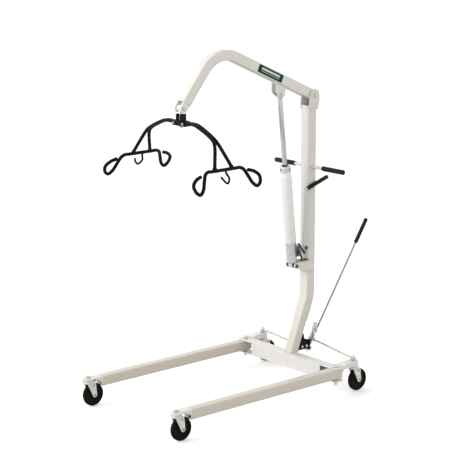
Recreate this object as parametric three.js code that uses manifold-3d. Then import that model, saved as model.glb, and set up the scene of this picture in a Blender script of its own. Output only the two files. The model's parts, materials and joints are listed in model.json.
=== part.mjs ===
// Manual hydraulic patient lift hoist: a floor lift with two swinging legs on casters, a bent
// mast, a bent boom raised by a hand pump, and a black cradle with loops for a sling.
// Millimetres, +Z up, floor at z = 0. The open ends of the legs point to -Y and +X is the side
// of the pump lever. Inside the hoist group y = 0 is the axis of the upright mast.
import * as THREE from 'three';
import { mergeVertices } from 'three/addons/utils/BufferGeometryUtils.js';
import Module from 'manifold-3d';

const wasm = await Module();
wasm.setup();

// ---------------------------------------------------------------- driving dimensions
const GAP = 0.3;                 // clearance between pieces that touch
const MAST_TO_ORIGIN = 468;      // the origin lies under the middle of the outline

const LEG_X = 293;               // centre of each leg, its pivot and its casters
const LEG_TUBE = 44;             // square leg tube
const LEG_TOP = 126;
const LEG_FRONT_Y = -930;
const LEG_REAR_Y = -86;
const LEG_WALL = 2.5;

const CROSS_Y = -104;            // cross member and leg pivots
const CROSS_DEPTH = 50;
const CROSS_TOP = 131;
const CROSS_BOTTOM = 71;
const CROSS_HALF = 322;
const CROSS_WALL = 4.5;
const CROSS_FRONT_OPEN_X = 219;  // beyond this the front wall is cut away
const CROSS_REAR_OPEN_X = 248;
const BOLT_R = 6;
const BOLT_HOLE_R = 6.5;

const MAST_WIDTH = 50;           // along X
const MAST_DEPTH = 48;           // along Y
const MAST_WALL = 2.2;
const MAST_LEAN = THREE.MathUtils.degToRad(21);
const MAST_KNEE_Z = 377;         // where the leaning and upright axes meet
const MAST_KNEE_RADIUS = 150;
const MAST_TOP = 1227;
const SLEEVE_LENGTH = 112;       // how far the mast reaches below its knee, along the lean
const POST_INSET = 2.5;          // post is this much smaller than the mast on each side

const BOOM_PIVOT = [13, 1270];   // y, z
const BOOM_SIZE = 45;
const BOOM_WALL = 2.5;
const BOOM_RISE = THREE.MathUtils.degToRad(24);
const BOOM_KNEE = [-534, 1513.5];
const BOOM_KNEE_RADIUS = 140;
const BOOM_END = [-705, 1300];
const HANG = [-718.8, 1282.8];   // pin that carries the cradle, y, z

const ROD_PIN = [-173, 1288];    // pump rod to boom, y, z
const PUMP_PIN = [-92, 527];     // pump to mast bracket, y, z

const PUSH_Z = 957;
const PUSH_Y = 5;
const PUSH_HALF = 217;
const PUSH_GRIP = 130;
const PUSH_BAR_R = 8;
const PUSH_GRIP_R = 11;

const LEVER_X = 35.5;            // plane of the pump lever, beside the mast
const LEVER_PIN = [-46, 604];
const LEVER_TOP = [-47, 864];
const LEVER_GRIP_END = [81, 905];
const LEVER_GRIP_R = 9.2;

const WHEEL_R = 50;
const WHEEL_HALF = 11;
const TRAIL = 25;
const FRONT_STEM_Y = -995;
const REAR_STEM_Y = 2;
const CASTER_TOP = 118;          // mounting face of each caster
const ARM_TOP = 140;             // top of the rear arms

const SHIFT_PIVOT_Z = 145;       // lever that spreads the legs
const SHIFT_TILT = THREE.MathUtils.degToRad(26.5);
const SHIFT_BACK = 0.0456;       // the lever leans back this much for each unit of height
const SHIFT_AXIS_Y = 21.6;
const SHIFT_CRANK = 24.7;
const SHIFT_LENGTH = 694;
const SHIFT_GRIP = 126;
const SHIFT_ROD_R = 4.2;
const SHIFT_FLAT = [[11, 201], [50, 209], [49, 257], [23, 252]];  // flat bar behind the rod, x, z
const TIE_R = 4.5;
const TIE_Y = 23.3;              // tie rods at the crank pins
const TIE_PLAY = 1.3;            // each eye sits this far past its pin, in the middle of the pin's rise
const TIE_OUTER_Z = 151;

const WIRE_R = 7;                // round bar of the cradle
const HUB_TOP = 1233;
const HUB_BOTTOM = 1211;
const BAR_X = 266;
const BAR_Z = 1065;
const BAR_HALF = 96;
const FOOT_Y = 44;
const SHOULDER = [216, 1168];    // x, z
const ELBOW = [106, 1224];

// ---------------------------------------------------------------- materials
const finish = (color, roughness, metalness) =>
  new THREE.MeshStandardMaterial({ color, roughness, metalness });
const cream = () => finish('#ddd8cd', 0.45, 0.1);
const black = () => finish('#17171a', 0.5, 0.2);
const zinc = () => finish('#9a9a9c', 0.35, 0.9);
const chrome = () => finish('#c9cacc', 0.12, 1.0);
const rubber = () => finish('#141415', 0.85, 0.0);
const white = () => finish('#eceae4', 0.35, 0.1);
const darkSteel = () => finish('#3b3a39', 0.45, 0.9);
const brass = () => finish('#b08b45', 0.3, 1.0);

// ---------------------------------------------------------------- solids
function solid(geometry) {
  const bare = geometry.clone();
  bare.deleteAttribute('normal');
  bare.deleteAttribute('uv');
  const merged = mergeVertices(bare, 1e-4);
  return new wasm.Manifold(new wasm.Mesh({
    numProp: 3,
    vertProperties: new Float32Array(merged.attributes.position.array),
    triVerts: new Uint32Array(merged.index.array),
  }));
}

function join(...pieces) {
  return pieces.reduce((sum, piece) => sum.add(piece));
}

function block(from, to) {
  const size = to.map((value, i) => value - from[i]);
  const middle = to.map((value, i) => (value + from[i]) / 2);
  return solid(new THREE.BoxGeometry(...size)).translate(middle);
}

// turn a solid made along +Z so that it lies along another axis
function along(axis, piece) {
  if (axis === 'x') return piece.rotate([0, 90, 0]);
  if (axis === 'y') return piece.rotate([-90, 0, 0]);
  return piece;
}

function drum(axis, radius, from, to, sides = 20) {
  const start = new THREE.Vector3(...from);
  const length = start.distanceTo(new THREE.Vector3(...to));
  const middle = from.map((value, i) => (value + to[i]) / 2);
  const upright = new THREE.CylinderGeometry(radius, radius, length, sides).rotateX(Math.PI / 2);
  return along(axis, solid(upright)).translate(middle);
}

// profile: [radius, height] pairs from the bottom of the axis to its top
function turned(axis, profile, centre, sides = 24) {
  const points = profile.map(([r, h]) => new THREE.Vector2(r, h));
  const upright = new THREE.LatheGeometry(points, sides).rotateX(Math.PI / 2);
  return along(axis, solid(upright)).translate(centre);
}

function shapeOf(outline) {
  return new THREE.Shape(outline.map(([a, b]) => new THREE.Vector2(a, b)));
}

// outlines in (y, z) between two values of x
function plateYZ(outline, fromX, toX) {
  const flat = new THREE.ExtrudeGeometry(shapeOf(outline), { depth: toX - fromX, bevelEnabled: false });
  const turn = new THREE.Matrix4().makeBasis(
    new THREE.Vector3(0, 1, 0), new THREE.Vector3(0, 0, 1), new THREE.Vector3(1, 0, 0));
  return solid(flat.applyMatrix4(turn)).translate([fromX, 0, 0]);
}

function plateXY(outline, fromZ, toZ) {
  const flat = new THREE.ExtrudeGeometry(shapeOf(outline), { depth: toZ - fromZ, bevelEnabled: false });
  return solid(flat).translate([0, 0, fromZ]);
}

// outlines in (x, z) between two values of y
function plateXZ(outline, fromY, toY) {
  const flat = new THREE.ExtrudeGeometry(shapeOf(outline), { depth: toY - fromY, bevelEnabled: false });
  return solid(flat.rotateX(Math.PI / 2)).translate([0, toY, 0]);
}

function arc(centre, radius, fromDeg, toDeg, steps = 8) {
  const points = [];
  for (let i = 0; i <= steps; i += 1) {
    const angle = THREE.MathUtils.degToRad(fromDeg + (toDeg - fromDeg) * i / steps);
    points.push([centre[0] + radius * Math.cos(angle), centre[1] + radius * Math.sin(angle)]);
  }
  return points;
}

function wire(points, radius, steps, sides = 8) {
  const curve = points.length === 2
    ? new THREE.LineCurve3(...points.map((p) => new THREE.Vector3(...p)))
    : new THREE.CatmullRomCurve3(points.map((p) => new THREE.Vector3(...p)), false, 'centripetal');
  const section = shapeOf(arc([0, 0], radius, 0, 360 - 360 / sides, sides - 1));
  return solid(new THREE.ExtrudeGeometry(section, { extrudePath: curve, steps, bevelEnabled: false }));
}

// hexagonal bar along Z
function hex(acrossFlats, from, to) {
  return drum('z', acrossFlats / Math.sqrt(3), from, to, 6);
}

// bolt along X with a hexagonal head at the +X end and a nut at the -X end
function boltX(y, z, halfLength, radius, acrossFlats) {
  const head = along('x', hex(acrossFlats, [0, 0, 0], [0, 0, 5])).translate([halfLength, y, z]);
  const nut = along('x', hex(acrossFlats, [0, 0, 0], [0, 0, 6])).translate([-halfLength - 6, y, z]);
  return join(head, drum('x', radius, [-halfLength - 8, y, z], [halfLength + 1, y, z], 16), nut);
}

// a line in the (y, z) plane with one rounded corner, as points with unit normals
function bentLine(start, corner, end, radius, steps) {
  const into = new THREE.Vector2(corner[0] - start[0], corner[1] - start[1]).normalize();
  const out = new THREE.Vector2(end[0] - corner[0], end[1] - corner[1]).normalize();
  const turn = Math.atan2(into.x * out.y - into.y * out.x, into.dot(out));
  const tangent = radius * Math.tan(Math.abs(turn) / 2);
  const side = Math.sign(turn);
  const first = new THREE.Vector2(...corner).addScaledVector(into, -tangent);
  const centre = new THREE.Vector2(first.x - into.y * radius * side, first.y + into.x * radius * side);
  const line = [{ at: new THREE.Vector2(...start), normal: new THREE.Vector2(-into.y, into.x) }];
  for (let i = 0; i <= steps; i += 1) {
    const angle = turn * i / steps;
    const normal = new THREE.Vector2(-into.y, into.x).rotateAround(new THREE.Vector2(), angle);
    line.push({ at: centre.clone().addScaledVector(normal, -radius * side), normal });
  }
  line.push({ at: new THREE.Vector2(...end), normal: new THREE.Vector2(-out.y, out.x) });
  return line;
}

function band(line, halfDepth) {
  const left = line.map(({ at, normal }) => at.clone().addScaledVector(normal, halfDepth));
  const right = line.map(({ at, normal }) => at.clone().addScaledVector(normal, -halfDepth));
  return [...left, ...right.reverse()].map((p) => [p.x, p.y]);
}

// ---------------------------------------------------------------- scene graph
const hoist = new THREE.Group();

function add(name, piece, material) {
  const { vertProperties, triVerts, numProp } = piece.getMesh();
  const geometry = new THREE.BufferGeometry();
  const places = new Float32Array(vertProperties.length / numProp * 3);
  for (let i = 0; i < places.length / 3; i += 1) {
    places.set(vertProperties.subarray(i * numProp, i * numProp + 3), i * 3);
  }
  geometry.setAttribute('position', new THREE.BufferAttribute(places, 3));
  geometry.setIndex(new THREE.BufferAttribute(new Uint32Array(triVerts), 1));
  const mesh = new THREE.Mesh(geometry, material);
  mesh.name = name;
  hoist.add(mesh);
}

const SIDES = [['left', -1], ['right', 1]];

// ---------------------------------------------------------------- base
function crossMember() {
  const front = CROSS_Y - CROSS_DEPTH / 2;
  const rear = CROSS_Y + CROSS_DEPTH / 2;
  const corner = 18;
  const outline = [
    ...arc([CROSS_HALF - corner, front + corner], corner, -90, 0, 4),
    ...arc([CROSS_HALF - corner, rear - corner], corner, 0, 90, 4),
    ...arc([corner - CROSS_HALF, rear - corner], corner, 90, 180, 4),
    ...arc([corner - CROSS_HALF, front + corner], corner, 180, 270, 4),
  ];
  let tube = plateXY(outline, CROSS_BOTTOM, CROSS_TOP).subtract(block(
    [-CROSS_HALF - 1, front + CROSS_WALL, CROSS_BOTTOM + CROSS_WALL],
    [CROSS_HALF + 1, rear - CROSS_WALL, CROSS_TOP - CROSS_WALL]));
  for (const [, side] of SIDES) {
    for (const [edge, y] of [[CROSS_FRONT_OPEN_X, front], [CROSS_REAR_OPEN_X, rear]]) {
      const from = side > 0 ? edge : -CROSS_HALF - 1;
      const to = side > 0 ? CROSS_HALF + 1 : -edge;
      tube = tube.subtract(block(
        [from, y - CROSS_WALL - 1, CROSS_BOTTOM + CROSS_WALL],
        [to, y + CROSS_WALL + 1, CROSS_TOP - CROSS_WALL]));
    }
    const x = side * LEG_X;
    tube = tube.subtract(drum('z', BOLT_HOLE_R, [x, CROSS_Y, 60], [x, CROSS_Y, 140], 16));
  }
  add('cross_member', tube, cream());
}

function legPivotBolts() {
  for (const [name, side] of SIDES) {
    const x = side * LEG_X;
    const at = (z) => [x, CROSS_Y, z];
    const bolt = join(
      drum('z', 13, at(CROSS_TOP + GAP), at(CROSS_TOP + 2.5)),
      hex(19, at(CROSS_TOP + 2), at(CROSS_TOP + 13)),
      drum('z', BOLT_R, at(50), at(CROSS_TOP + 12), 16),
      hex(19, at(CROSS_BOTTOM - GAP - 11), at(CROSS_BOTTOM - GAP)));
    add(`leg_pivot_bolt_${name}`, bolt, zinc());
  }
}

// ---------------------------------------------------------------- mast
function mastFoot(distance) {
  return [-Math.sin(MAST_LEAN) * distance, MAST_KNEE_Z - Math.cos(MAST_LEAN) * distance];
}

function basePost() {
  const halfWidth = MAST_WIDTH / 2 - POST_INSET;
  const halfDepth = MAST_DEPTH / 2 - POST_INSET;
  const line = bentLine(mastFoot(300), mastFoot(150), mastFoot(45), 1000, 1);
  const inner = bentLine(mastFoot(310), mastFoot(150), mastFoot(40), 1000, 1);
  const tube = plateYZ(band(line, halfDepth), -halfWidth, halfWidth)
    .subtract(plateYZ(band(inner, halfDepth - 3), 3 - halfWidth, halfWidth - 3));
  const above = block([-100, -300, CROSS_TOP + GAP], [100, 100, 500]);
  add('base_post', tube.intersect(above), cream());
}

function mastTube() {
  const line = bentLine(mastFoot(SLEEVE_LENGTH), [0, MAST_KNEE_Z], [0, MAST_TOP], MAST_KNEE_RADIUS, 6);
  const inner = bentLine(mastFoot(SLEEVE_LENGTH + 9), [0, MAST_KNEE_Z], [0, MAST_TOP + 9],
    MAST_KNEE_RADIUS, 6);
  const halfDepth = MAST_DEPTH / 2;
  const halfWidth = MAST_WIDTH / 2;
  let tube = plateYZ(band(line, halfDepth), -halfWidth, halfWidth)
    .subtract(plateYZ(band(inner, halfDepth - MAST_WALL), MAST_WALL - halfWidth, halfWidth - MAST_WALL));
  tube = tube.subtract(drum('x', PUSH_BAR_R + GAP, [-40, PUSH_Y, PUSH_Z], [40, PUSH_Y, PUSH_Z]));
  add('mast_tube', tube, cream());
}

function mastHead() {
  const [py, pz] = BOOM_PIVOT;
  const cheekRadius = 28;
  const cheekY = py - 6;
  const bottom = MAST_TOP - 18;
  const outline = [
    [-MAST_DEPTH / 2, bottom],
    [28.3, bottom],
    [28.3, bottom + 12],
    [cheekY + cheekRadius, bottom + 26],
    ...arc([cheekY, pz], cheekRadius, 0, 180, 14),
    [-MAST_DEPTH / 2, pz - 34],
  ];
  const inner = MAST_WIDTH / 2 + GAP;
  const outer = inner + 4.2;
  const web = block([-outer, MAST_DEPTH / 2 + GAP, bottom], [outer, 28.3, bottom + 40]);
  let head = web;
  for (const [from, to] of [[inner, outer], [-outer, -inner]]) {
    head = head.add(plateYZ(outline, from, to));
  }
  head = head.subtract(drum('x', BOLT_HOLE_R, [-40, py, pz], [40, py, pz], 16));
  add('mast_head', head, cream());
  add('boom_pivot_bolt', boltX(py, pz, outer + GAP, BOLT_R, 17), zinc());
}

function pushBar() {
  const at = (x) => [x, PUSH_Y, PUSH_Z];
  add('push_bar', drum('x', PUSH_BAR_R, at(4 - PUSH_HALF), at(PUSH_HALF - 4)), cream());
  for (const [name, side] of SIDES) {
    const ends = [side * (PUSH_HALF - PUSH_GRIP), side * PUSH_HALF].sort((a, b) => a - b);
    const bore = ends.map((x) => (Math.abs(x) > 200 ? x - side * 3.5 : x - side * 5));
    bore.sort((a, b) => a - b);
    const grip = drum('x', PUSH_GRIP_R, at(ends[0]), at(ends[1]))
      .subtract(drum('x', PUSH_BAR_R + GAP, at(bore[0]), at(bore[1])));
    add(`push_grip_${name}`, grip, rubber());
  }
}

// ---------------------------------------------------------------- legs
function legs() {
  const half = LEG_TUBE / 2;
  const bottom = LEG_TOP - LEG_TUBE;
  for (const [name, side] of SIDES) {
    const x = side * LEG_X;
    let tube = block([x - half, LEG_FRONT_Y, bottom], [x + half, LEG_REAR_Y, LEG_TOP]);
    const core = half - LEG_WALL;
    tube = tube.subtract(block([x - core, LEG_FRONT_Y - 1, bottom + LEG_WALL],
      [x + core, LEG_REAR_Y + 1, LEG_TOP - LEG_WALL]));
    tube = tube.subtract(drum('z', BOLT_HOLE_R, [x, CROSS_Y, 60], [x, CROSS_Y, 140], 16));
    add(`leg_${name}`, tube, cream());
    frontBracket(name, x);
    rearArm(name, x);
  }
}

// plug in the leg and a plate that thins to the caster mount
function frontBracket(name, x) {
  const core = LEG_TUBE / 2 - LEG_WALL - GAP;
  const bottom = LEG_TOP - LEG_TUBE;
  const plug = block([x - core, LEG_FRONT_Y - 2, bottom + LEG_WALL + GAP],
    [x + core, LEG_FRONT_Y + 60, LEG_TOP - LEG_WALL - GAP]);
  const face = LEG_FRONT_Y - GAP;
  const sideView = [
    [face, bottom],
    [face, LEG_TOP],
    [FRONT_STEM_Y - 22, LEG_TOP],
    [FRONT_STEM_Y - 22, CASTER_TOP + GAP],
    [FRONT_STEM_Y + 26, CASTER_TOP + GAP],
    ...arc([face - 36, bottom], 33, 84, 8, 6),
  ];
  const half = LEG_TUBE / 2;
  const planView = [
    [x - half, face + 1],
    ...arc([x, FRONT_STEM_Y], half, 180, 360, 10),
    [x + half, face + 1],
  ];
  const nose = plateYZ(sideView, x - half, x + half).intersect(plateXY(planView, 60, 140));
  const hole = drum('z', BOLT_HOLE_R, [x, FRONT_STEM_Y, 100], [x, FRONT_STEM_Y, 140], 16);
  add(`front_bracket_${name}`, join(plug, nose).subtract(hole), cream());
}

// plug in the rear end of the leg and an arm that carries the rear caster and the tie rod
function rearArm(name, x) {
  const core = LEG_TUBE / 2 - LEG_WALL - GAP;
  const floor = LEG_TOP - LEG_TUBE + LEG_WALL + GAP;
  const plug = block([x - core, CROSS_Y + BOLT_R + 4, floor],
    [x + core, LEG_REAR_Y + 2, LEG_TOP - LEG_WALL - GAP]);
  const face = LEG_REAR_Y + GAP;
  const step = CROSS_Y + CROSS_DEPTH / 2 + 6;
  const sideView = [
    [face, LEG_TOP],
    [face, 100],
    [face + 12, CASTER_TOP + GAP],
    [REAR_STEM_Y + 24, CASTER_TOP + GAP],
    [REAR_STEM_Y + 24, ARM_TOP - 4],
    [REAR_STEM_Y + 20, ARM_TOP],
    [step + 8, ARM_TOP],
    [step, LEG_TOP],
  ];
  const half = LEG_TUBE / 2;
  const planView = [
    [x - half, face - 1],
    [x + half, face - 1],
    ...arc([x, REAR_STEM_Y], half, 0, 180, 10),
  ];
  const arm = plateYZ(sideView, x - half, x + half).intersect(plateXY(planView, 60, 160));
  const hole = drum('z', BOLT_HOLE_R, [x, REAR_STEM_Y, 100], [x, REAR_STEM_Y, 160], 16);
  add(`rear_arm_${name}`, join(plug, arm).subtract(hole), cream());
}

// ---------------------------------------------------------------- casters
function caster(name, x, stemY, plateTop, stemTop) {
  const up = (z) => [x, stemY, z];
  const stem = join(
    drum('z', BOLT_R, up(107), up(stemTop), 16),
    hex(19, up(plateTop + GAP), up(plateTop + 7.5)));
  add(`stem_${name}`, stem, zinc());

  const crown = turned('z', [
    [0, 103], [23, 103], [25, 105], [25, 111], [22, 113.5], [22, CASTER_TOP - GAP], [0, CASTER_TOP - GAP],
  ], [x, stemY, 0]).subtract(drum('z', BOLT_HOLE_R, up(106.5), up(130), 16));
  const axleY = stemY + TRAIL;
  const cheek = [
    [stemY - 14, 105],
    ...arc([axleY, WHEEL_R], 11, 197, 350, 8),
    [stemY + 30, 105],
  ];
  const outer = WHEEL_HALF + 4.5;
  const inner = outer - 2.6;
  const axle = join(
    drum('x', 4, [x - outer, axleY, WHEEL_R], [x + outer, axleY, WHEEL_R], 12),
    drum('x', 6.5, [x - outer - 3, axleY, WHEEL_R], [x - outer + 1, axleY, WHEEL_R], 6),
    drum('x', 6.5, [x + outer - 1, axleY, WHEEL_R], [x + outer + 3, axleY, WHEEL_R], 6));
  const cheeks = join(plateYZ(cheek, x + inner, x + outer), plateYZ(cheek, x - outer, x - inner))
    .subtract(drum('x', 4, [x - 20, stemY + 20, 93], [x + 20, stemY + 20, 93], 12));
  add(`fork_${name}`, join(crown, cheeks, axle), zinc());

  const wheel = turned('x', [
    [4.4, -WHEEL_HALF - 1.4], [14, -WHEEL_HALF - 1.4], [16, -8], [37, -8], [39, -WHEEL_HALF],
    [45, -WHEEL_HALF], [48.6, -7.5], [WHEEL_R, -3], [WHEEL_R, 3], [48.6, 7.5], [45, WHEEL_HALF],
    [39, WHEEL_HALF], [37, 8], [16, 8], [14, WHEEL_HALF + 1.4], [4.4, WHEEL_HALF + 1.4],
    [4.4, -WHEEL_HALF - 1.4],
  ], [x, axleY, WHEEL_R], 32);
  add(`wheel_${name}`, wheel, rubber());
}

function casters() {
  for (const [name, side] of SIDES) {
    caster(`front_${name}`, side * LEG_X, FRONT_STEM_Y, LEG_TOP, LEG_TOP + 10);
    caster(`rear_${name}`, side * LEG_X, REAR_STEM_Y, ARM_TOP, 165);
  }
}

// ---------------------------------------------------------------- leg spreader
// point on the shifter lever at a distance above its pivot
function onLever(distance, y = SHIFT_AXIS_Y) {
  const rise = distance * Math.cos(SHIFT_TILT);
  return [distance * Math.sin(SHIFT_TILT), y + SHIFT_BACK * rise, SHIFT_PIVOT_Z + rise];
}

function postRear(z) {
  return (z - MAST_KNEE_Z) * Math.tan(MAST_LEAN) + (MAST_DEPTH / 2 - POST_INSET) / Math.cos(MAST_LEAN);
}

function shifterBracket() {
  const top = 204;
  const sideView = [
    [postRear(132) + GAP * 2, 132],
    [5.5, 132],
    [5.5, 156],
    [-24, 172],
    [-28, top],
    [postRear(top) + GAP * 2, top],
  ];
  const cheeks = join(plateYZ(sideView, 9, 13), plateYZ(sideView, -13, -9));
  const web = block([-18, 1.5, 126], [18, 5.5, 170]);
  const hole = drum('y', BOLT_HOLE_R - 1, [0, -5, SHIFT_PIVOT_Z], [0, 10, SHIFT_PIVOT_Z], 16);
  add('shifter_bracket', join(cheeks, web).subtract(hole), black());

  const pivot = join(
    drum('y', 5, [0, -4, SHIFT_PIVOT_Z], [0, 31, SHIFT_PIVOT_Z], 16),
    drum('y', 8, [0, 5.5 + GAP, SHIFT_PIVOT_Z], [0, 9.6 - GAP, SHIFT_PIVOT_Z], 16),
    along('y', hex(15, [0, 0, 0], [0, 0, 5])).translate([0, -3.6, SHIFT_PIVOT_Z]),
    along('y', hex(15, [0, 0, 0], [0, 0, 6])).translate([0, 16.4, SHIFT_PIVOT_Z]));
  add('shifter_pivot_bolt', pivot, zinc());
}

function shifterLever() {
  const tilt = -THREE.MathUtils.radToDeg(SHIFT_TILT);
  const stadium = [...arc([0, SHIFT_CRANK + 40], 12, 0, 180), ...arc([0, -SHIFT_CRANK], 12, 180, 360)];
  const plate = plateXZ(stadium, 9.6, 15.8).subtract(drum('y', 5.4, [0, 0, 0], [0, 20, 0], 16));
  const pins = [SHIFT_CRANK, -SHIFT_CRANK].map((z) => join(
    drum('y', 4, [0, 15, z], [0, 29, z], 12),
    drum('y', 7, [0, 27, z], [0, 30, z], 12)));
  const crank = join(plate, ...pins).rotate([0, -tilt, 0]).translate([0, 0, SHIFT_PIVOT_Z]);
  const socket = wire([onLever(46), onLever(57)], 7.5, 1, 12);
  const boss = block([-7.5, 12, 39], [7.5, 24, 50]).rotate([0, -tilt, 0]).translate([0, 0, SHIFT_PIVOT_Z]);
  const bore = wire([onLever(50), onLever(70)], SHIFT_ROD_R + GAP, 1, 12);
  add('shifter_crank', join(crank, boss, socket).subtract(bore), black());
  add('shifter_flat', plateXZ(SHIFT_FLAT, 15.8 + GAP, 19.4), zinc());
  add('shifter_rod', wire([onLever(50.5), onLever(SHIFT_LENGTH - 6)], SHIFT_ROD_R, 1, 12), chrome());
  const sleeve = wire([onLever(SHIFT_LENGTH - SHIFT_GRIP), onLever(SHIFT_LENGTH)], 8.6, 1, 16);
  const core = wire([onLever(SHIFT_LENGTH - SHIFT_GRIP - 5), onLever(SHIFT_LENGTH - 5.5)],
    SHIFT_ROD_R + GAP, 1, 12);
  add('shifter_grip', sleeve.subtract(core), rubber());
}

// bar from an eye on the rear caster stem to an eye on the crank pin
function tieRods() {
  for (const [name, side] of SIDES) {
    const pinX = side * SHIFT_CRANK * Math.sin(SHIFT_TILT);
    const pinZ = SHIFT_PIVOT_Z + side * (SHIFT_CRANK * Math.cos(SHIFT_TILT) + TIE_PLAY);
    const outer = [side * LEG_X, REAR_STEM_Y, TIE_OUTER_Z];
    const bar = wire([
      [side * (LEG_X - 11), REAR_STEM_Y, TIE_OUTER_Z],
      [side * (LEG_X - 30), REAR_STEM_Y + 1, TIE_OUTER_Z],
      [pinX + side * 30, TIE_Y - 1, pinZ],
      [pinX + side * 10, TIE_Y, pinZ],
    ], TIE_R, 10, 10);
    const rod = join(
      bar,
      drum('z', 12, [outer[0], outer[1], TIE_OUTER_Z - 3], [outer[0], outer[1], TIE_OUTER_Z + 3]),
      drum('y', 11, [pinX, TIE_Y - 3, pinZ], [pinX, TIE_Y + 3, pinZ]));
    const holes = join(
      drum('z', BOLT_HOLE_R, [outer[0], outer[1], 140], [outer[0], outer[1], 160], 16),
      drum('y', 5.8, [pinX, TIE_Y - 9, pinZ], [pinX, TIE_Y + 9, pinZ], 16));
    add(`tie_rod_${name}`, rod.subtract(holes), zinc());
  }
}

// ---------------------------------------------------------------- boom
function boom() {
  const line = bentLine(BOOM_PIVOT, BOOM_KNEE, BOOM_END, BOOM_KNEE_RADIUS, 12);
  const half = BOOM_SIZE / 2;
  const rearCap = arc(BOOM_PIVOT, half, 0, 360 - 15, 23);
  const tail = bentLine(BOOM_PIVOT, BOOM_KNEE, [BOOM_END[0] - 8, BOOM_END[1] - 10], BOOM_KNEE_RADIUS, 12);
  tail[0].at.addScaledVector(new THREE.Vector2(-Math.cos(BOOM_RISE), Math.sin(BOOM_RISE)), 30);
  let tube = join(plateYZ(band(line, half), -half, half), plateYZ(rearCap, -half, half));
  tube = tube.subtract(plateYZ(band(tail, half - BOOM_WALL), BOOM_WALL - half, half - BOOM_WALL));
  tube = tube.subtract(drum('x', BOLT_HOLE_R, [-40, ...BOOM_PIVOT], [40, ...BOOM_PIVOT], 16));
  add('boom_tube', tube, cream());
}

// height of the underside of the straight rear part of the boom
function boomUnderside(y) {
  return BOOM_PIVOT[1] + (BOOM_PIVOT[0] - y) * Math.tan(BOOM_RISE) - BOOM_SIZE / 2 / Math.cos(BOOM_RISE);
}

function boomPumpBracket() {
  const [qy, qz] = ROD_PIN;
  const clear = GAP * 1.3;
  const edge = (y, drop = 0) => [y, boomUnderside(y) - clear - drop];
  const cheek = [
    edge(-208),
    [-208, qz + 11],
    ...arc([qy + 1, qz + 3], 16, 225, 350, 8),
    edge(-154),
  ];
  const web = [edge(-208), edge(-208, 4), edge(-154, 4), edge(-154)];
  const bracket = join(
    plateYZ(cheek, 12.5, 16.5), plateYZ(cheek, -16.5, -12.5), plateYZ(web, -16.5, 16.5));
  const hole = drum('x', BOLT_HOLE_R, [-30, qy, qz], [30, qy, qz], 16);
  add('boom_pump_bracket', bracket.subtract(hole), cream());
  for (const [name, side] of SIDES) {
    const from = side > 0 ? 16.5 + GAP : -21.5 - GAP;
    const bolt = join(
      drum('x', BOLT_R, [side * 12.5, qy, qz], [side * 19, qy, qz], 16),
      along('x', hex(16, [0, 0, 0], [0, 0, 5])).translate([from, qy, qz]));
    add(`rod_bolt_${name}`, bolt, zinc());
  }
}

// fork plugged into the front end of the boom
function boomEndFork() {
  const run = new THREE.Vector2(BOOM_END[0] - BOOM_KNEE[0], BOOM_END[1] - BOOM_KNEE[1]).normalize();
  const inner = BOOM_SIZE / 2 - BOOM_WALL - GAP;
  const back = new THREE.Vector2(...BOOM_END).addScaledVector(run, -45);
  const across = new THREE.Vector2(-run.y, run.x);
  const at = (base, offset) => [base.x + across.x * offset, base.y + across.y * offset];
  const end = new THREE.Vector2(...HANG);
  const heading = THREE.MathUtils.radToDeg(Math.atan2(run.y, run.x));
  const cheek = [at(back, -inner), ...arc(HANG, inner, heading - 90, heading + 90, 10), at(back, inner)];
  const web = [at(back, -inner), at(back.clone().addScaledVector(run, 25), -inner),
    at(back.clone().addScaledVector(run, 25), inner), at(back, inner)];
  let fork = plateYZ(web, -inner, inner);
  fork = join(fork, plateYZ(cheek, 14.5, inner), plateYZ(cheek, -inner, -14.5));
  fork = fork.subtract(drum('x', BOLT_HOLE_R, [-40, end.x, end.y], [40, end.x, end.y], 16));
  add('boom_end_fork', fork, white());
  add('hang_pin', boltX(end.x, end.y, inner + GAP, BOLT_R, 16), zinc());
}

// ---------------------------------------------------------------- pump
const pumpAxis = new THREE.Vector2(ROD_PIN[0] - PUMP_PIN[0], ROD_PIN[1] - PUMP_PIN[1]);
const PUMP_REST = pumpAxis.length();
const PUMP_ANGLE = THREE.MathUtils.radToDeg(Math.atan2(-pumpAxis.x, pumpAxis.y));

// pump pieces are made upright with the lower pin at the origin, then leaned to their place
function onPump(piece) {
  return piece.rotate([PUMP_ANGLE, 0, 0]).translate([0, ...PUMP_PIN]);
}

function pump() {
  const baseTop = 106;
  const cylinderTop = 448;
  const base = join(
    turned('z', [[0, 8], [15, 8], [23, 18], [23, 92], [25, 96], [25, baseTop], [0, baseTop]], [0, 0, 0]),
    block([-15, 8, 34], [15, 42, 88]),
    drum('x', 12, [-11, 0, 0], [11, 0, 0]),
    block([-11, -11, 0], [11, 11, 20]))
    .subtract(drum('x', BOLT_HOLE_R, [-20, 0, 0], [20, 0, 0], 16));
  add('pump_base', onPump(base), zinc());

  const body = turned('z', [
    [0, baseTop + GAP], [26, baseTop + GAP], [26, 400], [24.5, 404],
    [24.5, cylinderTop - 24], [20, cylinderTop - 24],
    [20, cylinderTop - 30], [12, cylinderTop - 30], [12, baseTop + 12], [0, baseTop + 12],
  ], [0, 0, 0], 28);
  add('pump_cylinder', onPump(body), white());

  const gland = turned('z', [
    [11.6, cylinderTop - 23], [24.5, cylinderTop - 23], [24.5, cylinderTop], [20, cylinderTop + 4],
    [11.6, cylinderTop + 4], [11.6, cylinderTop - 23],
  ], [0, 0, 0], 24);
  add('pump_gland', onPump(gland), zinc());

  const rod = join(
    drum('z', 11, [0, 0, baseTop + 145], [0, 0, PUMP_REST - 16]),
    drum('x', 14, [-11, 0, PUMP_REST], [11, 0, PUMP_REST]),
    drum('z', 9, [0, 0, PUMP_REST - 24], [0, 0, PUMP_REST - 8]),
    drum('x', BOLT_R, [-12.2, 0, PUMP_REST], [12.2, 0, PUMP_REST], 16));
  add('piston_rod', onPump(rod), chrome());
}

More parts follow.
